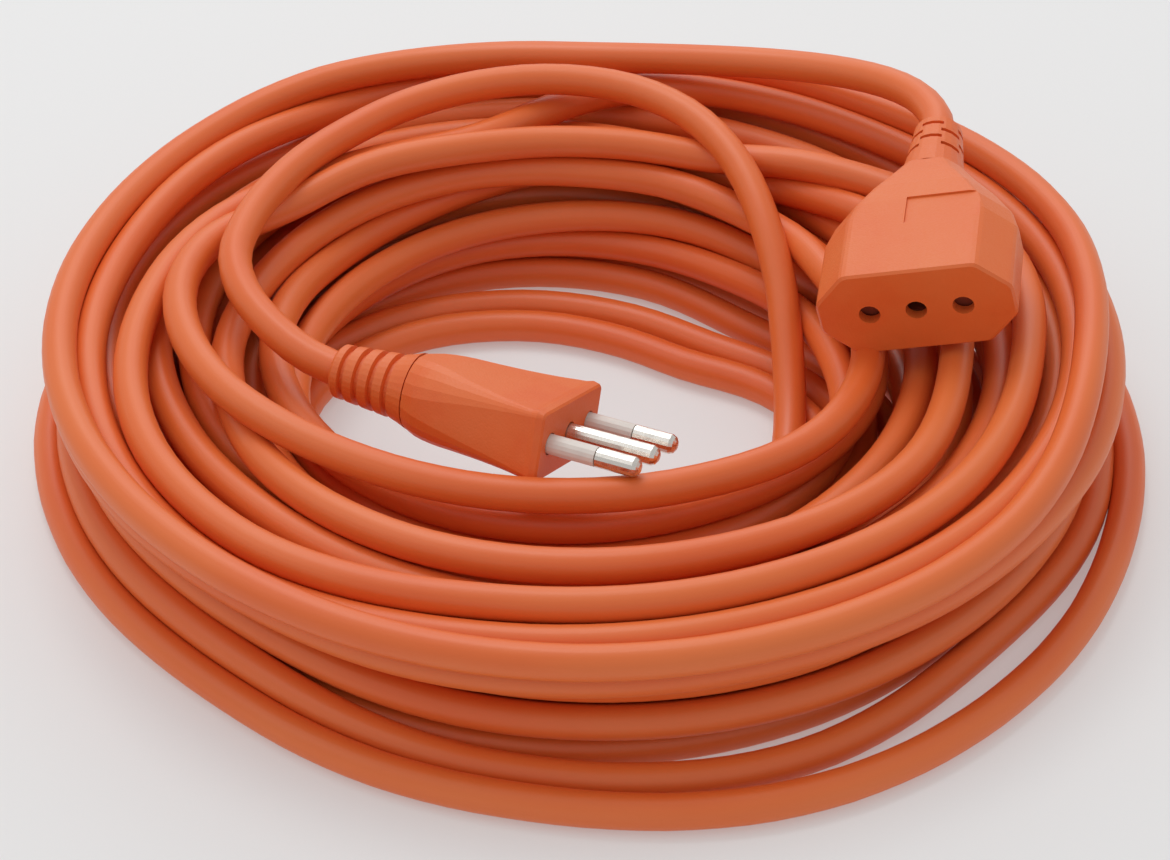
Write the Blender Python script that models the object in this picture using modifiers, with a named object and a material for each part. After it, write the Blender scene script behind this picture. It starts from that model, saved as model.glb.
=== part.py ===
"""A coiled three-core extension cord with a moulded plug and an in-line connector.

Metres, +Z up. The coil stands on the floor at z = 0 with its axis on Z. The plug lies across the coil's eye,
the connector lies on the coil's right side. Both ends have their own frame: local X points out of the mating
face, local Y runs along the row of pins or holes, local Z is the thin direction.
"""

import math

import bmesh
import bpy
import numpy as np
from mathutils import Euler, Matrix, Vector

# Cord
CORD_D = 0.007
CORD_R = CORD_D / 2
CORE_R = 0.00125
COPPER_R = 0.00065
CORE_SPREAD = 0.0016  # from the cord's axis to each core's axis

# Coil: the outline of the ring's cross-section as (radius, height), from the underside outwards
COIL_SECTION = (
    (0.1110, 0.0), (0.1155, 0.0030), (0.1170, 0.0090), (0.1162, 0.0180), (0.1130, 0.0260),
    (0.1060, 0.0330), (0.0960, 0.0370), (0.0860, 0.0375), (0.0760, 0.0360), (0.0680, 0.0330),
    (0.0610, 0.0280), (0.0560, 0.0210), (0.0535, 0.0130), (0.0535, 0.0060), (0.0560, 0.0010),
    (0.0590, 0.0),
)
COIL_STEPS = 72

# Pins and holes: 10 A pattern, three round pins in a row
PIN_PITCH = 0.0095
PIN_R = 0.002
PIN_LENGTH = 0.019
SLEEVE_LENGTH = 0.010
SLEEVE_WALL = 0.00045
HOLE_R = 0.0022
POLES = (("line", -PIN_PITCH), ("earth", 0.0), ("neutral", PIN_PITCH))

# Gaps
GAP = 0.0003
FIT_GAP = 0.00015  # between a pin and the sleeve moulded on it

# Plug, in its own frame: sections of the outside and of the hollow as (x, half width, half height, corner)
PLUG_PLACE = (-0.003, -0.042, 0.0362)
PLUG_TURN = (-20.5, 0.0, -24.5)  # degrees about X, Y and Z
PLUG_OUTSIDE = (
    (-0.0330, 0.0079, 0.0076, 0.0074), (-0.0300, 0.0097, 0.0080, 0.0074),
    (-0.0260, 0.0107, 0.0081, 0.0068), (-0.0200, 0.0114, 0.0076, 0.0050),
    (-0.0140, 0.0121, 0.0072, 0.0034), (-0.0080, 0.0131, 0.0070, 0.0022),
    (-0.0030, 0.0141, 0.0070, 0.0014), (-0.0004, 0.01425, 0.0070, 0.0012),
    (0.0, 0.01385, 0.0066, 0.0009),
)
PLUG_HOLLOW = (
    (-0.0350, 0.0040, 0.0040, 0.0040), (-0.0300, 0.0044, 0.0044, 0.0044),
    (-0.0265, 0.0084, 0.0056, 0.0050), (-0.0200, 0.0102, 0.0056, 0.0040),
    (-0.0140, 0.0115, 0.0053, 0.0012), (-0.0100, 0.0121, 0.0053, 0.0012),
    (-0.0022, 0.0126, 0.0052, 0.0010),
)
PLUG_REAR = -0.0330
PLUG_CARRIER = (-0.0100, -0.0025)
PLUG_CARRIER_HALF_WIDTH = 0.0113
PLUG_CARRIER_HALF_HEIGHT = 0.0047
COLLAR_STEP = 0.0004  # how far a pin's collar stands out
PLUG_CRIMP_END = -0.0142
PLUG_SLEEVE_REAR = -0.0505
PLUG_GROOVES = 4
PLUG_GROOVE_PITCH = 0.0034
PLUG_GROOVE_DEEP = 0.0010
PLUG_CORD_END = -0.0318

# Connector, in its own frame
CONNECTOR_PLACE = (0.0660, -0.0150, 0.0466)
CONNECTOR_TURN = (14.0, 5.5, -99.0)
CONNECTOR_OUTSIDE = (
    (-0.0410, 0.0072, 0.0070, 0.0035), (-0.0360, 0.0104, 0.0084, 0.0048),
    (-0.0300, 0.0150, 0.0095, 0.0060), (-0.0240, 0.0186, 0.0100, 0.0065),
    (-0.0190, 0.0200, 0.0100, 0.0065), (-0.0005, 0.0200, 0.0100, 0.0065),
    (0.0, 0.0195, 0.0095, 0.0063),
)
CONNECTOR_HOLLOW = (
    (-0.0430, 0.0040, 0.0040, 0.0020), (-0.0385, 0.0044, 0.0044, 0.0022),
    (-0.0340, 0.0095, 0.0062, 0.0035), (-0.0270, 0.0145, 0.0078, 0.0050),
    (-0.0200, 0.0182, 0.0083, 0.0051), (-0.0024, 0.0184, 0.0083, 0.0051),
)
CONNECTOR_REAR = -0.0410
CONNECTOR_SLEEVE_REAR = -0.0590
CONNECTOR_CORD_END = -0.0400
CARRIER_FRONT = -0.0027
CARRIER_STEP = -0.0085
CARRIER_BACK = -0.0210
COVER_THICK = 0.0018
COVER_HALF_WIDTH = 0.0130
COVER_HALF_HEIGHT = 0.0058
CONTACT_FRONT = -0.0062
CONTACT_CRIMP_END = -0.0262
CONTACT_R = 0.0026
CONTACT_CRIMP_R = 0.0016
CONTACT_SLOT_HALF = 0.0003
LABEL_X = (-0.0245, -0.0160)
LABEL_Y = (-0.0020, 0.0132)
LABEL_DEEP = 0.0005

# Shutter: a bar that slides along Y behind the face
SHUTTER_TRAVEL = 0.0046
SHUTTER_Y = (-0.0168, 0.01195)
SHUTTER_HALF_HEIGHT = 0.0029
SHUTTER_THICK = 0.0022
CHANNEL_Y = (-0.0172, 0.0176)
SPRING_R = 0.0009
SPRING_WIRE_R = 0.000125
SPRING_TURNS = 3

# Leads: the stretches that aren't coiled. Chosen by hand, from the sleeve's rear end to the coil
PLUG_LEAD = (
    (-0.0568, -0.0160, 0.0372), (-0.0637, -0.0090, 0.0390), (-0.0689, -0.0010, 0.0402),
    (-0.0718, 0.0075, 0.0409), (-0.0724, 0.0175, 0.0412), (-0.0690, 0.0330, 0.0412),
    (-0.0620, 0.0480, 0.0414),
    (-0.0520, 0.0610, 0.0416), (-0.0390, 0.0730, 0.0418), (-0.0230, 0.0810, 0.0420),
    (-0.0060, 0.0835, 0.0420), (0.0110, 0.0795, 0.0416), (0.0245, 0.0690, 0.0404),
    (0.0335, 0.0550, 0.0372), (0.0390, 0.0400, 0.0310), (0.0425, 0.0255, 0.0215),
    (0.0440, 0.0120, 0.0110), (0.0432, -0.0010, 0.0050), (0.0405, -0.0140, 0.0040),
    (0.0393, -0.0260, 0.0040), (0.0375, -0.0322, 0.0040),
)
CONNECTOR_LEAD = (
    (0.0751, 0.0524, 0.0516), (0.0717, 0.0617, 0.0492), (0.0661, 0.0686, 0.0465),
    (0.0610, 0.0722, 0.0443), (0.0528, 0.0766, 0.0422), (0.0443, 0.0808, 0.0412),
)
LEAD_POINT_EVERY = 2.0  # cord diameters

# Colours (linear) with roughness and metallic value
ORANGE = (0.58, 0.13, 0.045)
MATERIALS = {
    "orange_pvc": (ORANGE, 0.45, 0.0),
    "cord_sheath": (ORANGE, 0.42, 0.0),
    "pin_brass": ((0.72, 0.66, 0.58), 0.25, 1.0),
    "pin_sleeve": ((0.75, 0.72, 0.68), 0.5, 0.0),
    "carrier_plastic": ((0.08, 0.08, 0.085), 0.5, 0.0),
    "shutter_plastic": ((0.22, 0.035, 0.015), 0.5, 0.0),
    "contact_brass": ((0.75, 0.52, 0.22), 0.3, 1.0),
    "copper": ((0.72, 0.32, 0.18), 0.35, 1.0),
    "spring_steel": ((0.6, 0.6, 0.6), 0.3, 1.0),
    "core_line": ((0.16, 0.06, 0.025), 0.5, 0.0),
    "core_neutral": ((0.03, 0.12, 0.45), 0.5, 0.0),
    "core_earth": ((0.25, 0.45, 0.04), 0.5, 0.0),
}


# ---------------------------------------------------------------- scene and helpers

def clear_scene():
    for obj in list(bpy.data.objects):
        bpy.data.objects.remove(obj, do_unlink=True)


def new_collection(name, hidden=False):
    made = bpy.data.collections.new(name)
    made.hide_render = hidden
    bpy.context.scene.collection.children.link(made)
    return made


clear_scene()
PARTS = new_collection("extension_cord")
CUTTERS = new_collection("cutters", hidden=True)


def material(name):
    if name in bpy.data.materials:
        return bpy.data.materials[name]
    colour, roughness, metallic = MATERIALS[name]
    made = bpy.data.materials.new(name)
    made.use_nodes = True
    shader = made.node_tree.nodes["Principled BSDF"]
    shader.inputs["Base Color"].default_value = (*colour, 1.0)
    shader.inputs["Roughness"].default_value = roughness
    shader.inputs["Metallic"].default_value = metallic
    return made


def add_object(name, data, colour, parent):
    obj = bpy.data.objects.new(name, data)
    PARTS.objects.link(obj)
    obj.data.materials.append(material(colour))
    obj.parent = parent
    return obj


def add_frame(name, place, turn):
    """An empty that carries one end of the cord; turn is in degrees about X, Y and Z."""
    empty = bpy.data.objects.new(name, None)
    empty.location = place
    empty.rotation_euler = Euler([math.radians(angle) for angle in turn])
    PARTS.objects.link(empty)
    return empty


def mesh_from(bm, name):
    """The bmesh as a mesh with its faces pointing out, where they already agree with each other."""
    if bm.calc_volume(signed=True) < 0:
        bmesh.ops.reverse_faces(bm, faces=bm.faces[:])
    mesh = bpy.data.meshes.new(name)
    bm.to_mesh(mesh)
    bm.free()
    return mesh


def smooth(obj, angle=35):
    obj.data.shade_smooth()
    obj.data.set_sharp_from_angle(angle=math.radians(angle))


def rounded_rectangle(half_width, half_height, corner, arc_points=5):
    """Points (y, z) round a rectangle with round corners."""
    corner = min(corner, half_width, half_height)
    points = []
    for quarter, (side_y, side_z) in enumerate(((1, 1), (-1, 1), (-1, -1), (1, -1))):
        for step in range(arc_points):
            angle = math.pi / 2 * (quarter + (step + 0.5) / arc_points)
            y = side_y * (half_width - corner) + corner * math.cos(angle)
            z = side_z * (half_height - corner) + corner * math.sin(angle)
            points.append((y, z))
    return points


def chamfered_rectangle(half_width, half_height, chamfer, softness=0.0009):
    """Points (y, z) round a rectangle with chamfered corners, each of its eight edges blunted."""
    corners = (
        (half_width, half_height - chamfer), (half_width - chamfer, half_height),
        (chamfer - half_width, half_height), (-half_width, half_height - chamfer),
        (-half_width, chamfer - half_height), (chamfer - half_width, -half_height),
        (half_width - chamfer, -half_height), (half_width, chamfer - half_height),
    )
    points = []
    for index, corner in enumerate(corners):
        here = Vector(corner)
        before = (Vector(corners[index - 1]) - here).normalized()
        after = (Vector(corners[(index + 1) % 8]) - here).normalized()
        points.append(here + softness * before)
        points.append(here + 0.27 * softness * (before + after))
        points.append(here + softness * after)
    return points


def finer(sections, longest=0.0020):
    """The same sections with smooth ones between them, where two lie further apart than longest."""
    values = np.array(sections, float)
    slopes = np.gradient(values, values[:, 0], axis=0)
    made = []
    for here, after, slope, slope_after in zip(values, values[1:], slopes, slopes[1:]):
        run = after[0] - here[0]
        steps = math.ceil(run / longest)
        if steps == 1:
            slope = slope_after = (after - here) / run
        for t in np.arange(steps) / steps:
            made.append((2 * t ** 3 - 3 * t ** 2 + 1) * here + (3 * t ** 2 - 2 * t ** 3) * after
                        + run * t * (1 - t) * ((1 - t) * slope - t * slope_after))
    return [*made, values[-1]]


def loft(name, sections, outline):
    """A closed mesh through sections across X, each an outline of the same number of points."""
    bm = bmesh.new()
    rings = []
    for x, half_width, half_height, corner in sections:
        points = outline(half_width, half_height, corner)
        rings.append([bm.verts.new((x, y, z)) for y, z in points])
    for first, second in zip(rings, rings[1:]):
        for index in range(len(first)):
            after = (index + 1) % len(first)
            bm.faces.new((first[index], first[after], second[after], second[index]))
    bm.faces.new(rings[0][::-1])
    bm.faces.new(rings[-1])
    return mesh_from(bm, name)


def signed_area(outline):
    following = list(outline[1:]) + [outline[0]]
    return sum(x * r_next - x_next * r for (x, r), (x_next, r_next) in zip(outline, following)) / 2


def turned(name, profile, colour, parent, steps=16, at=(0, 0)):
    """A solid turned about local X. The profile of (x, radius) ends on the axis or closes round a bore."""
    if signed_area(profile) < 0:
        profile = profile[::-1]
    mesh = bpy.data.meshes.new(name)
    mesh.from_pydata([(x, radius, 0) for x, radius in profile],
                     [(i, i + 1) for i in range(len(profile) - 1)], [])
    obj = add_object(name, mesh, colour, parent)
    obj.location = (0, at[0], at[1])
    screw = obj.modifiers.new("turn", "SCREW")
    screw.axis = "X"
    screw.steps = steps
    screw.render_steps = steps
    screw.use_merge_vertices = True
    screw.merge_threshold = 0.00001
    return obj


def ring_profile(profile):
    """A turned profile with a bore, closed back to its first point."""
    return list(profile) + [profile[0]]


def cutter(name, mesh, parent, location=(0, 0, 0)):
    obj = bpy.data.objects.new(name, mesh)
    CUTTERS.objects.link(obj)
    obj.parent = parent
    obj.location = location
    obj.hide_render = True
    obj.display_type = "WIRE"
    return obj


def box_mesh(name, low, high):
    bm = bmesh.new()
    bmesh.ops.create_cube(bm, size=1.0)
    for vert in bm.verts:
        for axis in range(3):
            vert.co[axis] = low[axis] if vert.co[axis] < 0 else high[axis]
    return mesh_from(bm, name)


def rod_mesh(name, x_range, radius, sides=16):
    """A rod along X."""
    bm = bmesh.new()
    turn = Matrix.Rotation(math.pi / sides, 4, "Z")
    made = bmesh.ops.create_cone(bm, cap_ends=True, segments=sides, radius1=radius, radius2=radius,
                                 depth=1.0, matrix=turn)
    for vert in made["verts"]:
        along = x_range[0] if vert.co.z < 0 else x_range[1]
        vert.co = Vector((along, vert.co.x, vert.co.y))
    return mesh_from(bm, name)


def cut(obj, cutting):
    boolean = obj.modifiers.new(cutting.name, "BOOLEAN")
    boolean.operation = "DIFFERENCE"
    boolean.object = cutting
    boolean.solver = "EXACT"


def drill(obj, frame, name, x_range, radius, offsets=(-PIN_PITCH, 0.0, PIN_PITCH)):
    """Round holes along X, one cutter each, at the given places along Y."""
    for index, offset in enumerate(offsets):
        rod = rod_mesh(f"{name}_{index}", x_range, radius)
        cut(obj, cutter(f"{name}_{index}", rod, frame, (0, offset, 0)))


def smooth_route(points, spacing):
    """Points at an even spacing on a centripetal Catmull-Rom curve through the given ones."""
    route = [np.array(point, float) for point in points]
    route = [2 * route[0] - route[1]] + route + [2 * route[-1] - route[-2]]
    fine = []
    for a, b, c, d in zip(route, route[1:], route[2:], route[3:]):
        t1 = np.linalg.norm(b - a) ** 0.5
        t2 = t1 + np.linalg.norm(c - b) ** 0.5
        t3 = t2 + np.linalg.norm(d - c) ** 0.5
        for t in np.linspace(t1, t2, 16, endpoint=False):
            ab = (t1 - t) / t1 * a + t / t1 * b
            bc = (t2 - t) / (t2 - t1) * b + (t - t1) / (t2 - t1) * c
            cd = (t3 - t) / (t3 - t2) * c + (t - t2) / (t3 - t2) * d
            abc = (t2 - t) / t2 * ab + t / t2 * bc
            bcd = (t3 - t) / (t3 - t1) * bc + (t - t1) / (t3 - t1) * cd
            fine.append((t2 - t) / (t2 - t1) * abc + (t - t1) / (t2 - t1) * bcd)
    fine.append(route[-2])
    fine = np.array(fine)
    along = np.r_[0, np.cumsum(np.linalg.norm(np.diff(fine, axis=0), axis=1))]
    count = max(2, round(along[-1] / spacing) + 1)
    wanted = np.linspace(0, along[-1], count)
    return [Vector([np.interp(at, along, fine[:, axis]) for axis in range(3)]) for at in wanted]


def tube(name, points, radius, colour, parent=None, resolution=2):
    """A round tube with closed ends along a poly line."""
    curve = bpy.data.curves.new(name, "CURVE")
    curve.dimensions = "3D"
    curve.bevel_depth = radius
    curve.bevel_resolution = resolution
    curve.use_fill_caps = True
    spline = curve.splines.new("POLY")
    spline.points.add(len(points) - 1)
    for target, point in zip(spline.points, points):
        target.co = (*point, 1.0)
    return add_object(name, curve, colour, parent)


def in_world(frame, point):
    turn = frame.rotation_euler.to_matrix()
    return turn @ Vector(point) + frame.location


# ---------------------------------------------------------------- coil and leads

def make_coil():
    """The ring that the coiled turns fill, turned about Z."""
    mesh = bpy.data.meshes.new("cord_coil")
    points = [(radius, 0, height) for radius, height in reversed(COIL_SECTION)]
    edges = [(i, (i + 1) % len(points)) for i in range(len(points))]
    mesh.from_pydata(points, edges, [])
    coil = add_object("cord_coil", mesh, "cord_sheath", None)
    screw = coil.modifiers.new("turn", "SCREW")
    screw.axis = "Z"
    screw.steps = COIL_STEPS
    screw.render_steps = COIL_STEPS
    screw.use_merge_vertices = True
    screw.merge_threshold = 0.00001
    return coil


def make_lead(name, frame, cord_end, sleeve_rear, route):
    """A lead from its cut end inside the moulding, straight through the sleeve, then along its route."""
    inside = in_world(frame, (cord_end, 0, 0))
    leaving = [in_world(frame, (sleeve_rear - out, 0, 0)) for out in (0.0008, 0.0050)]
    outside = smooth_route(leaving + [Vector(point) for point in route], LEAD_POINT_EVERY * CORD_D)
    return tube(name, [inside] + outside, CORD_R, "cord_sheath", resolution=3)


def make_cores(end, frame, cord_end, crimp_end):
    """The three insulated cores, from the cord's cut end to the crimps, and the bare copper in each crimp."""
    for index, (pole, y) in enumerate(POLES):
        angle = math.radians(90 + 120 * (1 - index)) if pole != "earth" else math.radians(90)
        side = CORE_SPREAD * math.cos(angle)
        lift = CORE_SPREAD * math.sin(angle)
        rear = cord_end + 2 * GAP
        front = crimp_end - GAP
        reach = front - rear
        route = ((rear, side, lift), (rear + 0.15 * reach, side * 1.1, lift),
                 (rear + 0.5 * reach, 0.5 * (y + side), 0.5 * lift),
                 (rear + 0.8 * reach, 0.92 * y, 0.0), (front, y, 0.0))
        tube(f"{end}_core_{pole}", smooth_route(route, 0.0018), CORE_R, f"core_{pole}", frame)
        copper = ((crimp_end + GAP / 3, 0.0), (crimp_end + GAP / 3, COPPER_R),
                  (crimp_end + 0.0030, COPPER_R), (crimp_end + 0.0030, 0.0))
        turned(f"{end}_copper_{pole}", copper, "copper", frame, steps=12, at=(y, 0.0))


# ---------------------------------------------------------------- plug

def make_plug_body(frame):
    mesh = loft("plug_body", finer(PLUG_OUTSIDE), rounded_rectangle)
    body = add_object("plug_body", mesh, "orange_pvc", frame)
    smooth(body)
    hollow = loft("plug_hollow", PLUG_HOLLOW, rounded_rectangle)
    cut(body, cutter("plug_hollow", hollow, frame))
    drill(body, frame, "plug_pin_hole", (-0.004, 0.004), PIN_R + GAP)


def make_plug_carrier(frame):
    """The rigid block that holds the pins at their pitch behind the face."""
    low = (PLUG_CARRIER[0], -PLUG_CARRIER_HALF_WIDTH, -PLUG_CARRIER_HALF_HEIGHT)
    high = (PLUG_CARRIER[1], PLUG_CARRIER_HALF_WIDTH, PLUG_CARRIER_HALF_HEIGHT)
    mesh = box_mesh("plug_pin_carrier", low, high)
    carrier = add_object("plug_pin_carrier", mesh, "carrier_plastic", frame)
    drill(carrier, frame, "plug_carrier_hole", (-0.012, 0.0), PIN_R + GAP)
    drill(carrier, frame, "plug_carrier_seat", (-0.0078, -0.0048), PIN_R + COLLAR_STEP + GAP)


def make_pin(frame, pole, y):
    """A pin with a round tip, a collar and a crimp barrel. The outer two are necked for their sleeves."""
    neck = PIN_R - SLEEVE_WALL - FIT_GAP if pole != "earth" else PIN_R
    collar = PIN_R + COLLAR_STEP
    tip = PIN_LENGTH
    crimp = PLUG_CRIMP_END
    profile = [
        (crimp, COPPER_R + FIT_GAP), (crimp, 0.0015), (-0.0100, 0.0015), (-0.0098, PIN_R),
        (-0.0075, PIN_R), (-0.0075, collar), (-0.0051, collar), (-0.0051, PIN_R),
        (-0.0035, PIN_R), (-0.0033, neck), (SLEEVE_LENGTH, neck), (SLEEVE_LENGTH + 0.0001, PIN_R),
        (tip - 0.0013, PIN_R), (tip - 0.0005, PIN_R * 0.82), (tip - 0.0001, PIN_R * 0.5), (tip, 0.0),
    ]
    bore_end = crimp + 0.0036
    profile = [(bore_end, 0.0), (bore_end, COPPER_R + FIT_GAP)] + profile
    turned(f"plug_pin_{pole}", profile, "pin_brass", frame, at=(y, 0.0))


def make_pin_sleeve(frame, pole, y):
    start, end = -0.0030, SLEEVE_LENGTH - FIT_GAP
    inner, outer = PIN_R - SLEEVE_WALL, PIN_R
    profile = ring_profile(((start, inner), (start, outer), (end, outer), (end, inner)))
    turned(f"plug_pin_sleeve_{pole}", profile, "pin_sleeve", frame, at=(y, 0.0))


def make_ribbed_sleeve(frame):
    """The plug's strain relief: a bored cone with grooves round it."""
    bore = CORD_R + GAP
    rear, front = PLUG_SLEEVE_REAR, PLUG_REAR - GAP
    deep = PLUG_GROOVE_DEEP
    profile = [(rear, bore), (rear, 0.0049), (rear + 0.0006, 0.0055)]
    for groove in range(PLUG_GROOVES):
        start = rear + 0.0020 + PLUG_GROOVE_PITCH * groove
        crest = 0.0056 + 0.0003 * groove
        profile += [(start, crest), (start + 0.0003, crest - deep), (start + 0.0011, crest - deep),
                    (start + 0.0014, crest + 0.0001)]
    profile += [(rear + 0.0150, 0.0070), (front, 0.0078), (front, bore)]
    turned("plug_strain_relief", ring_profile(profile), "orange_pvc", frame, steps=32)


def make_plug():
    frame = add_frame("plug_frame", PLUG_PLACE, PLUG_TURN)
    make_plug_body(frame)
    make_plug_carrier(frame)
    make_ribbed_sleeve(frame)
    for pole, y in POLES:
        make_pin(frame, pole, y)
        if pole != "earth":
            make_pin_sleeve(frame, pole, y)
    make_cores("plug", frame, PLUG_CORD_END, PLUG_CRIMP_END)
    make_lead("cord_plug_lead", frame, PLUG_CORD_END, PLUG_SLEEVE_REAR, PLUG_LEAD)


# ---------------------------------------------------------------- connector

def make_connector_body(frame):
    mesh = loft("connector_body", CONNECTOR_OUTSIDE, chamfered_rectangle)
    body = add_object("connector_body", mesh, "orange_pvc", frame)
    smooth(body, 30)
    hollow = loft("connector_hollow", CONNECTOR_HOLLOW, chamfered_rectangle)
    cut(body, cutter("connector_hollow", hollow, frame))
    drill(body, frame, "connector_entry", (-0.004, 0.004), HOLE_R)
    top = CONNECTOR_OUTSIDE[4][2]
    low = (LABEL_X[0], LABEL_Y[0], top - LABEL_DEEP)
    high = (LABEL_X[1], LABEL_Y[1], top + LABEL_DEEP)
    cut(body, cutter("label_recess", box_mesh("label_recess", low, high), frame))


def make_connector_carrier(frame):
    """The contact carrier: a wide front with the shutter's channel, and a narrower rear with three bores."""
    sections = (
        (CARRIER_BACK, 0.0135, 0.0062, 0.0015), (CARRIER_STEP - 0.0002, 0.0135, 0.0062, 0.0015),
        (CARRIER_STEP, 0.0181, 0.0079, 0.0046), (CARRIER_FRONT, 0.0181, 0.0079, 0.0046),
    )
    carrier = add_object("connector_carrier", loft("connector_carrier", sections, chamfered_rectangle),
                         "carrier_plastic", frame)
    drill(carrier, frame, "contact_bore", (CARRIER_BACK - 0.002, CARRIER_FRONT + 0.002), CONTACT_R + GAP)
    floor = CARRIER_FRONT - SHUTTER_THICK - 2 * GAP
    half = SHUTTER_HALF_HEIGHT + GAP
    channel = box_mesh("shutter_channel", (floor, CHANNEL_Y[0], -half), (0.0, CHANNEL_Y[1], half))
    cut(carrier, cutter("shutter_channel", channel, frame))


def make_carrier_cover(frame):
    """The plate that closes the rear of the carrier round the crimps."""
    low = (CARRIER_BACK - GAP - COVER_THICK, -COVER_HALF_WIDTH, -COVER_HALF_HEIGHT)
    high = (CARRIER_BACK - GAP, COVER_HALF_WIDTH, COVER_HALF_HEIGHT)
    mesh = box_mesh("connector_carrier_cover", low, high)
    cover = add_object("connector_carrier_cover", mesh, "carrier_plastic", frame)
    drill(cover, frame, "cover_hole", (low[0] - 0.001, high[0] + 0.001), CONTACT_CRIMP_R + 2 * GAP)


def make_contact(frame, pole, y):
    """A tubular contact, split along its length, with a crimp barrel behind it."""
    front, back, end = CONTACT_FRONT, CARRIER_BACK + 0.0006, CONTACT_CRIMP_END
    inner, outer = PIN_R - 0.0001, CONTACT_R
    bore_end = end + 0.0036
    profile = [
        (bore_end, 0.0), (bore_end, COPPER_R + FIT_GAP), (end, COPPER_R + FIT_GAP), (end, CONTACT_CRIMP_R),
        (back - 0.0008, CONTACT_CRIMP_R), (back, outer), (front, outer), (front, inner),
        (back + 0.0012, inner), (back + 0.0012, 0.0),
    ]
    contact = turned(f"connector_contact_{pole}", profile, "contact_brass", frame, at=(y, 0.0))
    low = (back + 0.003, y - CONTACT_SLOT_HALF, -0.004)
    high = (front + 0.002, y + CONTACT_SLOT_HALF, 0.004)
    slot = box_mesh(f"contact_slot_{pole}", low, high)
    cut(contact, cutter(f"contact_slot_{pole}", slot, frame))


def make_shutter(frame):
    """The sliding bar. At rest it covers the outer two holes, and its own holes meet them at full travel."""
    thick = SHUTTER_THICK / 2
    middle_x = CARRIER_FRONT - GAP - thick
    low = (-thick, SHUTTER_Y[0], -SHUTTER_HALF_HEIGHT)
    high = (thick, SHUTTER_Y[1], SHUTTER_HALF_HEIGHT)
    mesh = box_mesh("connector_shutter", low, high)
    shutter = add_object("connector_shutter", mesh, "shutter_plastic", frame)
    shutter.location = (middle_x, 0, 0)
    outer = [side * PIN_PITCH - SHUTTER_TRAVEL for side in (-1, 1)]
    drill(shutter, frame, "shutter_hole", (middle_x - 0.003, middle_x + 0.003), HOLE_R, outer)
    slot = box_mesh("shutter_slot", (-0.003, -SHUTTER_TRAVEL - HOLE_R, -HOLE_R), (0.003, HOLE_R, HOLE_R))
    cut(shutter, cutter("shutter_slot", slot, frame, (middle_x, 0, 0)))


def make_shutter_spring(frame):
    """A compression spring along Y between the shutter's end and the end of its channel."""
    start = SHUTTER_Y[1] + GAP / 2 + SPRING_WIRE_R
    end = CHANNEL_Y[1] - GAP / 2 - SPRING_WIRE_R
    middle_x = CARRIER_FRONT - GAP - SHUTTER_THICK / 2
    steps = 12 * SPRING_TURNS
    points = []
    for step in range(steps + 1):
        angle = 2 * math.pi * step / 12
        y = start + (end - start) * step / steps
        points.append((middle_x + SPRING_R * math.cos(angle), y, SPRING_R * math.sin(angle)))
    tube("connector_shutter_spring", points, SPRING_WIRE_R, "spring_steel", frame)


def make_slotted_sleeve(frame):
    """The connector's strain relief: a bored taper with rows of short slots round it."""
    bore = CORD_R + GAP
    rear, front = CONNECTOR_SLEEVE_REAR, CONNECTOR_REAR - GAP
    profile = ((rear, bore), (rear, 0.0046), (rear + 0.0006, 0.0052), (rear + 0.0120, 0.0062),
               (front, 0.0070), (front, bore))
    sleeve = turned("connector_strain_relief", ring_profile(profile), "orange_pvc", frame, steps=24)
    bm = bmesh.new()
    for row in range(4):
        x = rear + 0.0030 + 0.0026 * row
        for quarter in range(4):
            angle = math.pi / 2 * quarter + math.pi / 4 * (row % 2)
            made = bmesh.ops.create_cube(bm, size=1.0)
            for vert in made["verts"]:
                along, side, out = vert.co.x * 0.0011, vert.co.y * 0.0046, 0.0055 + vert.co.z * 0.0022
                vert.co = Vector((x + along, side * math.cos(angle) - out * math.sin(angle),
                                  side * math.sin(angle) + out * math.cos(angle)))
    cut(sleeve, cutter("sleeve_slots", mesh_from(bm, "sleeve_slots"), frame))


def make_connector():
    frame = add_frame("connector_frame", CONNECTOR_PLACE, CONNECTOR_TURN)
    make_connector_body(frame)
    make_connector_carrier(frame)
    make_carrier_cover(frame)
    make_slotted_sleeve(frame)
    make_shutter(frame)
    make_shutter_spring(frame)
    for pole, y in POLES:
        make_contact(frame, pole, y)
    make_cores("connector", frame, CONNECTOR_CORD_END, CONTACT_CRIMP_END)
    make_lead("cord_connector_lead", frame, CONNECTOR_CORD_END, CONNECTOR_SLEEVE_REAR, CONNECTOR_LEAD)


make_coil()
make_plug()
make_connector()
bpy.context.view_layer.update()
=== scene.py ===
"""Looks of an orange extension cord: one cord wound by hand into a hank, with its plug and its connector."""

import math

import bpy
import numpy as np
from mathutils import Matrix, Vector


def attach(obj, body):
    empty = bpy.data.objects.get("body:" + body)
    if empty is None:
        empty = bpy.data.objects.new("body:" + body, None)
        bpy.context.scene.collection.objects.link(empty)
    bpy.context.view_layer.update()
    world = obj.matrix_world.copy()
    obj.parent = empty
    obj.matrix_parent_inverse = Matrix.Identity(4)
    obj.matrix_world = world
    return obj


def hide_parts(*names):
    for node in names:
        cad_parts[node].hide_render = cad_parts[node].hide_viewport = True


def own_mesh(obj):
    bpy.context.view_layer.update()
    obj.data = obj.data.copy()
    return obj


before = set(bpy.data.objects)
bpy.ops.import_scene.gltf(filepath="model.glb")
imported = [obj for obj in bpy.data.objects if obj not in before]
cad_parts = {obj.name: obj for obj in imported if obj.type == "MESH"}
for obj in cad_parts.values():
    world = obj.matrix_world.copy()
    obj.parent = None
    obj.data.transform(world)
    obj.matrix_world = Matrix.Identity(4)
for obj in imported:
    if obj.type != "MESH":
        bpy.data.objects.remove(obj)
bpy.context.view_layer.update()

MM = 0.001
BODY = "cord_set"

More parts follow.
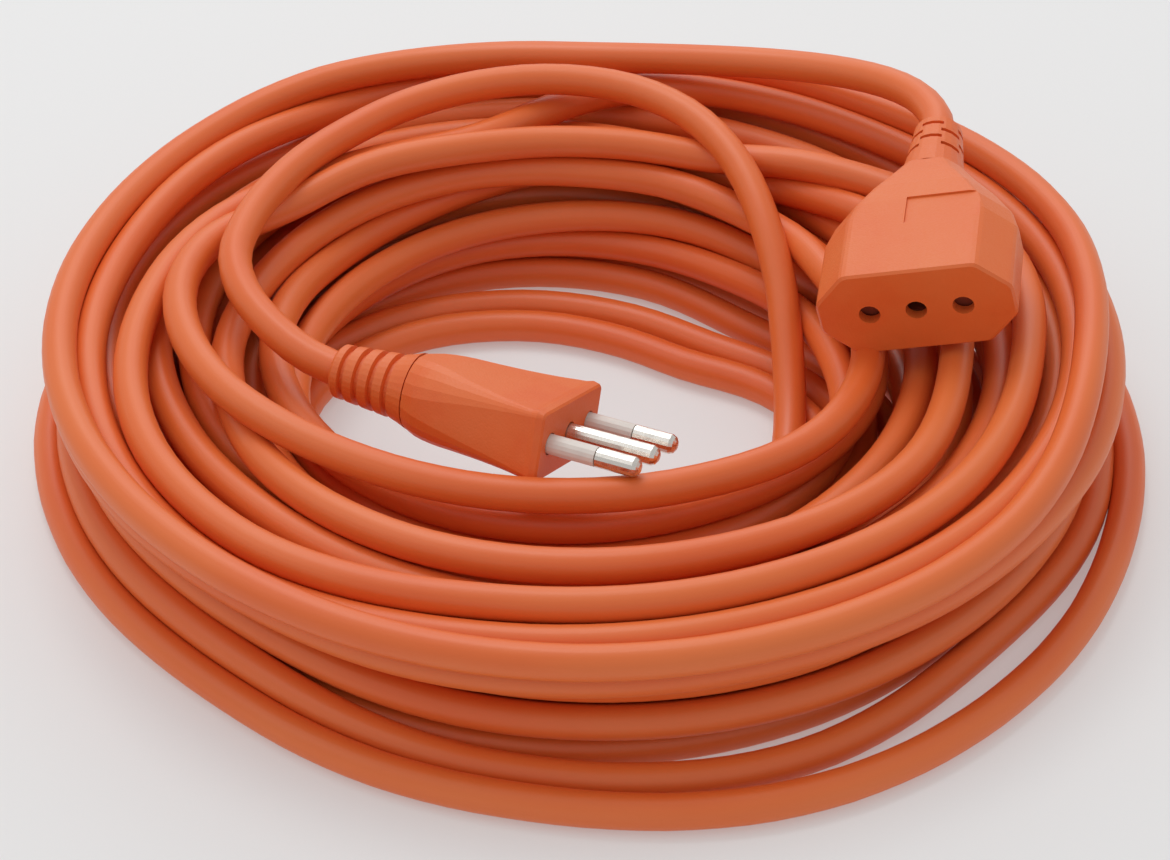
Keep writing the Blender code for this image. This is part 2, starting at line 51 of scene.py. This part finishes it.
# ---------------------------------------------------------------- driving dimensions

CORD_D = 0.007
CORD_R = CORD_D / 2
CORD_SIDES = 16
POINT_STEP = 0.005

# Where the cord leaves each strain relief, the way it points there, and how far it goes inside
PLUG_EXIT = (-0.04895, -0.02106, 0.0362)
PLUG_WAY = (-0.910, 0.415, 0.0)
PLUG_INSIDE = 0.0180
CONNECTOR_EXIT = (0.0752, 0.0430, 0.05225)
CONNECTOR_WAY = (0.156, 0.983, 0.096)
CONNECTOR_INSIDE = 0.0185

# The two stretches that are not coiled, from the exit to the hank: the same points as in the CAD
PLUG_LEAD = (
    (-0.0568, -0.0160, 0.0372), (-0.0637, -0.0090, 0.0390), (-0.0689, -0.0010, 0.0402),
    (-0.0718, 0.0075, 0.0409), (-0.0724, 0.0175, 0.0412), (-0.0690, 0.0330, 0.0412),
    (-0.0620, 0.0480, 0.0414),
    (-0.0520, 0.0610, 0.0416), (-0.0390, 0.0730, 0.0418), (-0.0230, 0.0810, 0.0420),
    (-0.0060, 0.0835, 0.0420), (0.0110, 0.0795, 0.0416), (0.0245, 0.0690, 0.0404),
    (0.0335, 0.0550, 0.0372), (0.0390, 0.0400, 0.0310), (0.0425, 0.0255, 0.0215),
    (0.0440, 0.0120, 0.0110), (0.0432, -0.0010, 0.0050), (0.0405, -0.0140, 0.0040),
    (0.0393, -0.0260, 0.0040), (0.0375, -0.0322, 0.0040),
)
CONNECTOR_LEAD = (
    (0.0751, 0.0524, 0.0516), (0.0717, 0.0617, 0.0492), (0.0661, 0.0686, 0.0465),
    (0.0610, 0.0722, 0.0443), (0.0528, 0.0766, 0.0422), (0.0443, 0.0808, 0.0412),
)

STATIONS = 12  # per turn, clockwise from where the plug's lead joins
# The turns that lie on the floor: the first one's radius at each station, and the step from
# each turn to the next one there, in mm
FLOOR_TURNS = 7
FLOOR_RADII = (51.2, 53.6, 55, 56.5, 56.5, 61, 54.3, 49.2, 42, 35.3, 43, 52.8)
FLOOR_PITCH = (7.2, 7.1, 7.1, 7.2, 7.2, 7.2, 7.6, 8.4, 9.2, 9.6, 8.8, 7.6)
# The turns above them in winding order: radius and height of each in mm
UPPER_TURNS = (
    (114, 3.5), (108, 6.5), (103, 11), (94, 11), (84, 11), (72, 11), (62, 10.5),
    (60, 17.5), (69.5, 18), (78, 18.5), (88, 18.5), (98, 18),
    (106, 25), (97, 25.5), (86, 26.5), (76, 26), (62, 25),
    (80, 33), (60, 34), (92, 33.5), (100, 31),
    (101, 36),
)
WHOLE_TURNS = FLOOR_TURNS + len(UPPER_TURNS)
INNER_RADIUS = 55
OUTER_RADIUS = 114
# How far the upper turns' inner and outer sides stand out of round, in mm, every 45 degrees
# from +X
INNER_SHIFT = (-5, -7, 1, 4, 2, 0, -2, -3)
OUTER_SHIFT = (2, 6, 7, 9, 2, -9, -5, -4)
# Stretches that wander on their own: first station, then radius and height in mm at each one
LOOSE_STRETCHES = {
    7: ((44.5, 3.5), (37, 3.5), (35, 3.5), (44.5, 3.5)),
    19: ((53, 3.5), (46, 3.5), (43.5, 3.5), (52, 3.5)),
    81: ((115, 3.5), (114.5, 3.5), (112.5, 3.5), (115, 3.5), (117, 3.5), (110.5, 3.5), (104.5, 3.5),
         (108.5, 3.5), (114.5, 3.5), (116, 3.5)),
    94: ((109.5, 8), (107.5, 4.5), (102.5, 3.5), (107.5, 3.5), (103.5, 3.5), (97.5, 4.5), (103, 8.5),
         (108.5, 9.5), (111, 10)),
    288: ((80, 33), (80, 33.5), (79.5, 33), (77.5, 31), (75, 28.5), (73, 27), (71, 27), (69, 28),
          (66, 28), (62, 26), (57, 28.5), (58.5, 32), (60, 33), (59, 34), (60, 34), (66, 35),
          (78, 37.5), (84, 38.5), (75, 38), (69, 36), (68, 34.5), (74, 33)),
    312: ((91, 33), (91, 33.5), (92, 33), (97, 32), (94.5, 34), (87.5, 35.5), (78, 36), (72, 35.5)),
    324: ((99, 30), (98, 30), (99, 29.5), (101, 29), (102, 31), (102, 33), (102, 35)),
    336: ((104, 32), (104, 31), (103.5, 31), (104, 32), (105.5, 34), (106, 35), (108, 36),
          (105, 37), (96, 39.5)),
}
# Irregularity of a hank wound by hand: waves per turn, size across and size up, in mm
WANDER = ((1, 1.6, 0.9), (2, 1.3, 0.8), (3, 0.9, 0.5))
LAYOUT_SEED = 4
EVEN_TURNS = 2  # upper turns that don't wander yet
# When a turn moves to the next one's place: from this part of the turn, over this part of it
CHANGE_START = 0.5
CHANGE_SPAN = 0.4
MEAN_RADIUS = 0.083

# How the strands settle beside and on each other
RELAX_ROUNDS = 160
SEARCH_EVERY = 8  # rounds from one search for touching strands to the next
LAST_ROUNDS = 4  # rounds at the end that only push strands apart
NEAR = 2.2 * CORD_D
CLEAR = 1.01 * CORD_D
SAME_STRAND = 6  # points this close along the line never count as touching
PUSH = 1.6
BEND_BACK = 0.25
HOLD = 0.02
LOOSE_HOLD = 0.05  # added to HOLD in the stretches that wander on their own
EASE_REACH = 9
FIXED_TO = 4  # points from a join at which a lead is fixed
FADE = 8  # points over which fixed turns into free

# Colours and surfaces
ORANGE = (0.80, 0.148, 0.026)
PALE_ORANGE = (0.81, 0.205, 0.052)
DEEP_ORANGE = (0.74, 0.100, 0.016)
WHITE = (1.0, 1.0, 1.0, 1.0)
PVC_SHEEN = 0.55
NOISE_LOW = 0.3  # most of a noise's values lie between these two
NOISE_HIGH = 0.7

# Floor, light and camera
FLOOR_SIZE = 12.0
FLOOR_GREY = (0.56, 0.56, 0.56)
FLOOR_GLOW = 0.26
WORLD_STRENGTH = 0.58
# Soft boxes: size in m, power in W, distance in m, azimuth and elevation in degrees
SOFT_BOXES = {
    "key": (0.9, 7.0, 1.6, 115, 66),
    "back": (1.4, 5.0, 1.8, 90, 34),
    "left": (1.0, 1.5, 1.6, 190, 50),
}
CAMERA_TARGET = Vector((0, -0.0165, 0.018))
CAMERA_ELEVATION = math.radians(36.5)
CAMERA_DISTANCE = 0.66
CAMERA_LENS = 99.5
SENSOR_WIDTH = 36.0


# ---------------------------------------------------------------- the cord's route

def smoothstep(x):
    """Goes from 0 to 1 without a corner while x does."""
    x = np.clip(x, 0, 1)
    return x * x * (3 - 2 * x)


def angle_of(point):
    """The way to a point, seen from above, from +X."""
    return math.atan2(point[1], point[0])


def smooth_values(at, values):
    """Catmull-Rom interpolation of evenly spaced values."""
    last = len(values) - 1
    i = np.clip(at.astype(int), 0, last - 1)
    t = (at - i).reshape(-1, *(1,) * (values.ndim - 1))
    before, here = values[np.maximum(i - 1, 0)], values[i]
    after, beyond = values[i + 1], values[np.minimum(i + 2, last)]
    bend = 2 * before - 5 * here + 4 * after - beyond
    twist = 3 * here - before - 3 * after + beyond
    return here + 0.5 * t * (after - before + t * (bend + t * twist))


def along_line(points):
    """How far along the line each point lies."""
    return np.r_[0, np.cumsum(np.linalg.norm(np.diff(points, axis=0), axis=1))]


def evenly(points, step):
    """The same line with points an even step apart."""
    along = along_line(points)
    places = np.linspace(0, along[-1], int(round(along[-1] / step)) + 1)
    return np.stack([np.interp(places, along, points[:, axis]) for axis in range(3)], axis=1)


def lead(exit_point, way, inside, route):
    """A lead's line, from inside its moulding to the hank."""
    exit_point, way = np.array(exit_point), np.array(way)
    points = np.array([exit_point - inside * way, exit_point - inside / 2 * way, exit_point, *route])
    fine = smooth_values(np.linspace(0, len(points) - 1, 40 * len(points)), points)
    return evenly(fine, POINT_STEP)


def around(angle, values):
    """A smooth closed curve through values spaced evenly round the circle."""
    terms = np.fft.rfft(np.array(values, float)) / len(values)
    total = np.full(len(angle), terms[0].real)
    for order, term in enumerate(terms[1:], 1):
        share = 1 if 2 * order == len(values) else 2
        total += share * (term * np.exp(1j * order * angle)).real
    return total


def wander(turn, angle, size, order, rng):
    """A wave of its own for each turn, fading into the next turn's."""
    index = turn.astype(int)
    amount = rng.normal(0, size, index.max() + 2)
    phase = rng.uniform(0, 2 * math.pi, index.max() + 2)
    fade = smoothstep(turn - index)
    here = amount[index] * np.cos(order * angle + phase[index])
    after = amount[index + 1] * np.cos(order * angle + phase[index + 1])
    return here * (1 - fade) + after * fade


def floor_layer(count):
    """Radius and height at each station of the turns that lie on the floor."""
    station = np.arange(count)
    place, lap = station % STATIONS, station // STATIONS
    radius = np.array(FLOOR_RADII)[place] + np.array(FLOOR_PITCH)[place] * lap
    return radius, np.full(count, CORD_R / MM)


def upper_layers(count, start):
    """Radius and height at each station of the turns above.

    Each turn keeps its place, then moves to the next one's.
    """
    turn = np.arange(count) / STATIONS
    angle = start - 2 * math.pi * turn
    index = turn.astype(int)
    after = np.minimum(index + 1, len(UPPER_TURNS) - 1)
    change = smoothstep((turn - index - CHANGE_START) / CHANGE_SPAN)
    radii, heights = np.array(UPPER_TURNS, float).T
    radius = radii[index] * (1 - change) + radii[after] * change
    height = heights[index] * (1 - change) + heights[after] * change
    looseness = np.clip(turn - EVEN_TURNS, 0, 1)
    rng = np.random.default_rng(LAYOUT_SEED)
    for order, across, up in WANDER:
        radius += looseness * wander(turn, angle, across, order, rng)
        height += looseness * wander(turn, angle, up, order, rng)
    outward = (radius - INNER_RADIUS) / (OUTER_RADIUS - INNER_RADIUS)
    outer, inner = around(angle, OUTER_SHIFT), around(angle, INNER_SHIFT)
    radius += outward * outer + (1 - outward) * inner
    return radius, height


def stations(count, start):
    """Radius, height and looseness at each station of the coiled stretch."""
    on_floor = FLOOR_TURNS * STATIONS
    lower, upper = floor_layer(on_floor), upper_layers(count - on_floor, start)
    radius, height = np.r_[lower[0], upper[0]], np.r_[lower[1], upper[1]]
    loose = np.zeros(count)
    for first, stretch in LOOSE_STRETCHES.items():
        stretch = np.array(stretch)[:count - first]
        last = first + len(stretch)
        radius[first:last], height[first:last] = stretch.T
        loose[first:last] = 1
    return radius, height, loose


def hank_line():
    """The coiled stretch's line before it settles, and how firmly each point keeps its place."""
    start = angle_of(PLUG_LEAD[-1])
    sweep = 2 * math.pi * WHOLE_TURNS - (angle_of(CONNECTOR_LEAD[-1]) - start)
    count = int(sweep / (2 * math.pi) * STATIONS) + 1
    radius, height, loose = stations(count, start)
    swept = np.linspace(0, sweep, int(sweep * MEAN_RADIUS / POINT_STEP))
    station = swept / (2 * math.pi) * STATIONS
    radius, height = smooth_values(station, radius), smooth_values(station, height)
    angle = start - swept
    points = np.c_[radius * np.cos(angle), radius * np.sin(angle), height] * MM
    points[:, 2] = np.maximum(points[:, 2], CORD_R)
    return points, HOLD + LOOSE_HOLD * np.interp(station, np.arange(count), loose)


def ease(points, join):
    """A smooth bend through the join of two stretches, with the directions at its two ends."""
    first, last = join - EASE_REACH, join + EASE_REACH
    way_in, way_out = points[first] - points[first - 1], points[last + 1] - points[last]
    t = np.linspace(0, 1, 2 * EASE_REACH + 1)[:, None]
    from_first, from_last = 2 * t ** 3 - 3 * t ** 2 + 1, 3 * t ** 2 - 2 * t ** 3
    turned = 2 * EASE_REACH * t * (1 - t) * ((1 - t) * way_in - t * way_out)
    points[first:last + 1] = from_first * points[first] + from_last * points[last] + turned


def near_pairs(points):
    """Each pair of points on strands that may touch."""
    square = (points ** 2).sum(1)
    gap = square[:, None] + square[None, :] - 2 * points @ points.T
    i, j = np.nonzero(gap < NEAR ** 2)
    keep = (abs(i - j) > SAME_STRAND) & (j < len(points) - 1)
    return i[keep], j[keep]


def smooth_moves(move):
    """Spreads each point's move over its neighbours on the line."""
    kernel = np.array([1, 2, 3, 4, 3, 2, 1]) / 16
    for axis in range(3):
        padded = np.pad(move[:, axis], 3, mode="edge")
        move[:, axis] = np.convolve(padded, kernel, mode="valid")
    return move


def push_apart(points, i, j):
    """How far each point moves so that strands lie a diameter apart.

    A point i is pushed off the piece of line from point j to the next one.
    """
    run = points[j + 1] - points[j]
    share = np.clip(((points[i] - points[j]) * run).sum(1) / (run ** 2).sum(1), 0, 1)
    away = points[i] - points[j] - share[:, None] * run
    distance = np.sqrt((away ** 2).sum(1)) + 1e-12
    deep = np.maximum(CLEAR - distance, 0)
    hit = deep > 0
    push = 0.5 * (away / distance[:, None] * deep[:, None])[hit]
    i, j, share = i[hit], j[hit], share[hit]
    move = np.zeros_like(points)
    count = np.zeros(len(points))
    sides = ((i, np.ones(len(i)), 1), (j, 1 - share, -1), (j + 1, share, -1))
    for places, weight, sign in sides:
        np.add.at(move, places, sign * push * weight[:, None])
        np.add.at(count, places, weight)
    move *= PUSH / np.maximum(count, 1)[:, None]
    return smooth_moves(move)


def bends(points):
    """How far the line stands off the straight line between points two before and two after."""
    return 0.5 * (points[4:] + points[:-4]) - points[2:-2]


def settle(points, hold, free):
    """Lays the strands beside and on each other, each point as free to move as free says."""
    start = points.copy()
    rest_bends = bends(start)
    for turn in range(RELAX_ROUNDS):
        if turn % SEARCH_EVERY == 0:
            i, j = near_pairs(points)
        move = push_apart(points, i, j) + hold[:, None] * (start - points)
        points = points + move * free[:, None]
        if turn < RELAX_ROUNDS - LAST_ROUNDS:
            points[2:-2] += BEND_BACK * (bends(points) - rest_bends) * free[2:-2, None]
        points[:, 2] = np.maximum(points[:, 2], CORD_R)
    return points


def freedom(count, joins):
    """How free each point is to move: 0 in the two leads, 1 in the hank."""
    free = np.ones(count)
    free[:joins[0] - FIXED_TO], free[joins[1] + FIXED_TO:] = 0, 0
    window = 2 * FADE + 1
    return np.convolve(np.pad(free, FADE, mode="edge"), np.full(window, 1 / window), mode="valid")


def cord_line():
    """The whole cord's line, from inside the plug to inside the connector."""
    first = lead(PLUG_EXIT, PLUG_WAY, PLUG_INSIDE, PLUG_LEAD)
    last = lead(CONNECTOR_EXIT, CONNECTOR_WAY, CONNECTOR_INSIDE, CONNECTOR_LEAD)[::-1]
    turns, hold = hank_line()
    points = np.concatenate([first[:-1], turns[1:-1], last])
    joins = len(first) - 1, len(points) - len(last)
    for join in joins:
        ease(points, join)
    hold = np.pad(hold[1:-1], (len(first) - 1, len(last)), mode="edge")
    return evenly(settle(points, hold, freedom(len(points), joins)), POINT_STEP)


# ---------------------------------------------------------------- the cord's tube

def frames_along(points):
    """Two directions across the line at each point, carried along it without twist."""
    ways = np.gradient(points, axis=0)
    ways /= np.linalg.norm(ways, axis=1)[:, None]
    side = np.cross(ways[0], (0, 0, 1.0))
    side /= np.linalg.norm(side)
    sides = []
    for way in ways:
        side = side - way * (side @ way)
        side /= np.linalg.norm(side)
        sides.append(side)
    sides = np.array(sides)
    return sides, np.cross(ways, sides)


def add_object(name, data):
    made = bpy.data.objects.new(name, data)
    bpy.context.scene.collection.objects.link(made)
    return made


def ring_faces(rings, sides):
    """The quads between rings of points, and the two ends."""
    ring = np.arange(rings - 1)[:, None] * sides
    first = ring + np.arange(sides)
    beside = ring + (np.arange(sides) + 1) % sides
    quads = np.stack([first, beside, beside + sides, first + sides], axis=2)
    last = rings * sides
    ends = [list(range(sides))[::-1], list(range(last - sides, last))]
    return quads.reshape(-1, 4).tolist() + ends


def straightened(points, radius, angle):
    """Where each point of a tube would be if the cord lay straight."""
    places = np.empty((len(points), len(angle), 3))
    places[:, :, 0] = radius * np.cos(angle)
    places[:, :, 1] = radius * np.sin(angle)
    places[:, :, 2] = along_line(points)[:, None]
    return places


def tube(name, points, radius, sides):
    """A closed tube, with its straightened places in the point attribute named straight."""
    across, up = (way[:, None] for way in frames_along(points))
    angle = np.arange(sides) * 2 * math.pi / sides
    ring = np.cos(angle)[None, :, None] * across + np.sin(angle)[None, :, None] * up
    vertices = (points[:, None] + radius * ring).reshape(-1, 3)
    mesh = bpy.data.meshes.new(name)
    mesh.from_pydata(vertices.tolist(), [], ring_faces(len(points), sides))
    mesh.shade_smooth()
    straight = straightened(points, radius, angle).astype(np.float32)
    layer = mesh.attributes.new("straight", "FLOAT_VECTOR", "POINT")
    layer.data.foreach_set("vector", straight.ravel())
    return add_object(name, mesh)


# ---------------------------------------------------------------- materials

class Finish:
    """A node material: small helpers round one Principled BSDF."""

    def __init__(self, name, colour, roughness, metallic=0.0):
        self.material = bpy.data.materials.new(name)
        self.material.use_nodes = True
        self.tree = self.material.node_tree
        self.shader = self.tree.nodes["Principled BSDF"]
        self.colour = colour
        self.set(self.shader, "Base Color", (*colour, 1.0))
        self.set(self.shader, "Roughness", roughness)
        self.set(self.shader, "Metallic", metallic)
        self.height = None
        self.tint = None

    def set(self, node, socket, value):
        """Links value to the node's socket, or writes it there."""
        if isinstance(value, bpy.types.NodeSocket):
            self.tree.links.new(value, node.inputs[socket])
        else:
            node.inputs[socket].default_value = value

    def node(self, kind, **inputs):
        """A new node. An underscore in an input's name stands for a space."""
        made = self.tree.nodes.new(kind)
        for socket, value in inputs.items():
            self.set(made, socket.replace("_", " "), value)
        return made

    def place(self, attribute=None):
        """Object coordinates, or the named attribute."""
        if attribute is None:
            return self.node("ShaderNodeTexCoord").outputs["Object"]
        made = self.node("ShaderNodeAttribute")
        made.attribute_name = attribute
        return made.outputs["Vector"]

    def stretched(self, place, scale):
        return self.node("ShaderNodeMapping", Vector=place, Scale=scale).outputs["Vector"]

    def noise(self, place, scale, detail=3.0, roughness=0.55):
        made = self.node("ShaderNodeTexNoise", Vector=place, Scale=scale, Detail=detail,
                         Roughness=roughness)
        return made.outputs["Fac"]

    def ramp(self, value, low, high, start, end):
        """value from low to high becomes start to end."""
        made = self.node("ShaderNodeMapRange", Value=value, From_Min=low, From_Max=high,
                         To_Min=start, To_Max=end)
        return made.outputs["Result"]

    def lay_over(self, colour, where, low, high, most):
        """Lays colour over what is there: none where the value where is low, most where high."""
        made = self.tree.nodes.new("ShaderNodeMix")
        made.data_type = "RGBA"
        factor, below, above = made.inputs[0], made.inputs[6], made.inputs[7]
        self.tree.links.new(self.ramp(where, low, high, 0.0, most), factor)
        if self.tint is None:
            below.default_value = (*self.colour, 1.0)
        else:
            self.tree.links.new(self.tint, below)
        above.default_value = (*colour, 1.0)
        self.tint = made.outputs[2]
        self.set(self.shader, "Base Color", self.tint)

    def vary_roughness(self, value, smooth, rough):
        varied = self.ramp(value, NOISE_LOW, NOISE_HIGH, smooth, rough)
        self.set(self.shader, "Roughness", varied)

    def bump(self, value, depth):
        """Adds a height of depth metres."""
        made = self.node("ShaderNodeBump", Height=value, Distance=depth)
        if self.height is not None:
            self.set(made, "Normal", self.height)
        self.height = made.outputs["Normal"]
        self.set(self.shader, "Normal", self.height)


def cord_sheath():
    """Extruded PVC: fine lines along the cord, faint scuffs, and soft changes of colour."""
    made = Finish("cord_sheath_pvc", ORANGE, 0.42)
    straight = made.place("straight")
    lines = made.noise(made.stretched(straight, (1.0, 1.0, 0.012)), scale=900, detail=2)
    cloud = made.noise(made.stretched(straight, (1.0, 1.0, 0.2)), scale=60, detail=3)
    scuff = made.noise(made.stretched(straight, (1.0, 1.0, 0.25)), scale=420, detail=5,
                       roughness=0.7)
    made.lay_over(PALE_ORANGE, where=cloud, low=0.35, high=0.7, most=0.5)
    made.lay_over(DEEP_ORANGE, where=cloud, low=0.5, high=0.25, most=0.45)
    made.lay_over(PALE_ORANGE, where=scuff, low=0.66, high=0.78, most=0.35)
    made.vary_roughness(lines, smooth=0.38, rough=0.50)
    made.bump(lines, depth=0.00004)
    made.bump(made.noise(straight, scale=2600, detail=2), depth=0.00002)
    made.set(made.shader, "Specular IOR Level", PVC_SHEEN)
    return made.material


def moulded_pvc():
    """The plug's and connector's soft body: a fine spark-eroded grain and slight rubbing."""
    made = Finish("moulded_pvc", ORANGE, 0.46)
    place = made.place()
    grain = made.noise(place, scale=2200, detail=2)
    cloud = made.noise(place, scale=55, detail=4)
    rubbed = made.noise(place, scale=300, detail=6, roughness=0.72)
    made.lay_over(PALE_ORANGE, where=cloud, low=0.35, high=0.7, most=0.45)
    made.lay_over(DEEP_ORANGE, where=cloud, low=0.45, high=0.3, most=0.35)
    made.lay_over(PALE_ORANGE, where=rubbed, low=0.62, high=0.76, most=0.3)
    made.vary_roughness(grain, smooth=0.40, rough=0.54)
    made.bump(grain, depth=0.00006)
    made.bump(cloud, depth=0.00025)
    made.set(made.shader, "Specular IOR Level", PVC_SHEEN)
    return made.material


def darker(colour, share):
    return tuple(share * part for part in colour)


def plated_metal(name, colour, roughness):
    """Turned and plated metal with fine rings and a few dull patches."""
    made = Finish(name, colour, roughness, metallic=1.0)
    place = made.place()
    rings = made.noise(made.stretched(place, (1.0, 0.1, 0.1)), scale=5000, detail=1)
    dull = made.noise(place, scale=500, detail=4)
    made.lay_over(darker(colour, 0.72), where=dull, low=0.5, high=0.75, most=0.6)
    made.vary_roughness(dull, smooth=roughness - 0.06, rough=roughness + 0.12)
    made.bump(rings, depth=0.00001)
    return made.material


def hard_plastic(name, colour, roughness):
    """Rigid moulded plastic with a satin grain."""
    made = Finish(name, colour, roughness)
    place = made.place()
    grain = made.noise(place, scale=3000, detail=2)
    cloud = made.noise(place, scale=200, detail=3)
    made.lay_over(darker(colour, 0.8), where=cloud, low=0.4, high=0.75, most=0.5)
    made.vary_roughness(grain, smooth=roughness - 0.05, rough=roughness + 0.07)
    made.bump(grain, depth=0.00002)
    return made.material


def finishes():
    """A finish for each of the CAD's materials, by its name there: colour, then roughness."""
    return {
        "orange_pvc": moulded_pvc(),
        "pin_brass": plated_metal("nickel_plated_brass", (0.80, 0.76, 0.70), 0.24),
        "pin_sleeve": hard_plastic("sleeve_plastic", (0.78, 0.72, 0.66), 0.42),
        "carrier_plastic": hard_plastic("carrier_plastic_black", (0.06, 0.06, 0.065), 0.5),
        # Painted shade: the shutter is orange plastic, darkened here to the dark red it shows in shadow
        # behind the pin holes.
        "shutter_plastic": hard_plastic("shutter_plastic_shade_darkened", (0.26, 0.045, 0.02), 0.5),
        "contact_brass": plated_metal("contact_brass_bare", (0.75, 0.52, 0.22), 0.3),
        "copper": plated_metal("bare_copper", (0.72, 0.32, 0.18), 0.35),
        "spring_steel": plated_metal("spring_wire", (0.6, 0.6, 0.6), 0.3),
        "core_line": hard_plastic("core_brown", (0.16, 0.06, 0.025), 0.5),
        "core_neutral": hard_plastic("core_blue", (0.03, 0.12, 0.45), 0.5),
        "core_earth": hard_plastic("core_green_yellow", (0.25, 0.45, 0.04), 0.5),
    }


def dress_nodes():
    """Gives each CAD node the finish of its own material."""
    made = finishes()
    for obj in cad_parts.values():
        for place in obj.material_slots:
            if place.material.name in made:
                place.material = made[place.material.name]


# ---------------------------------------------------------------- pieces and setting

def cord():
    """The whole cord, which stands for the CAD's coil and its two leads."""
    points = cord_line()
    made = tube("cord", points, CORD_R, CORD_SIDES)
    made.data.materials.append(cord_sheath())
    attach(made, BODY)
    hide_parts("cord_coil", "cord_plug_lead", "cord_connector_lead")


def shutter_spring():
    """The shutter's return spring, as an object of its own with its own copy of the mesh."""
    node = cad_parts["connector_shutter_spring"]
    mesh = node.data.copy()
    mesh.transform(node.matrix_world)
    made = add_object("shutter_spring", mesh)
    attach(made, BODY)
    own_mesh(made)
    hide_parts("connector_shutter_spring")


def floor():
    """A plain pale sheet under the hank."""
    mesh = bpy.data.meshes.new("floor")
    half = FLOOR_SIZE / 2
    corners = [(-half, -half, 0), (half, -half, 0), (half, half, 0), (-half, half, 0)]
    mesh.from_pydata(corners, [], [(0, 1, 2, 3)])
    made = add_object("floor", mesh)
    paper = Finish("pale_paper", FLOOR_GREY, 0.9)
    paper.bump(paper.noise(paper.place(), scale=800, detail=2), depth=0.00002)
    paper.set(paper.shader, "Emission Color", WHITE)
    paper.set(paper.shader, "Emission Strength", FLOOR_GLOW)
    made.data.materials.append(paper.material)


def aim(obj, way, distance):
    """Stands obj that far from the target, and turns it to look back at it."""
    obj.location = CAMERA_TARGET + distance * way
    obj.rotation_euler = way.to_track_quat("Z", "Y").to_euler()


def soft_box(name, size, power, distance, azimuth, elevation):
    """A round area light aimed at the hank. Azimuth is anticlockwise from +X, seen from above."""
    data = bpy.data.lights.new(name, "AREA")
    data.shape = "DISK"
    data.size = size
    data.energy = power
    azimuth, elevation = math.radians(azimuth), math.radians(elevation)
    level = math.cos(elevation)
    way = Vector((math.cos(azimuth) * level, math.sin(azimuth) * level, math.sin(elevation)))
    aim(add_object(name, data), way, distance)


def light():
    """An even white surround and the soft boxes."""
    world = bpy.data.worlds.new("studio")
    world.use_nodes = True
    background = world.node_tree.nodes["Background"]
    background.inputs["Color"].default_value = WHITE
    background.inputs["Strength"].default_value = WORLD_STRENGTH
    bpy.context.scene.world = world
    for name, values in SOFT_BOXES.items():
        soft_box(name, *values)


def camera():
    data = bpy.data.cameras.new("camera")
    data.sensor_width = SENSOR_WIDTH
    data.lens = CAMERA_LENS
    data.clip_start = 0.01
    made = add_object("camera", data)
    aim(made, Vector((0, -math.cos(CAMERA_ELEVATION), math.sin(CAMERA_ELEVATION))),
        CAMERA_DISTANCE)
    bpy.context.scene.camera = made


camera()
cord()
dress_nodes()
shutter_spring()
floor()
light()
bpy.context.scene.view_settings.view_transform = "Standard"
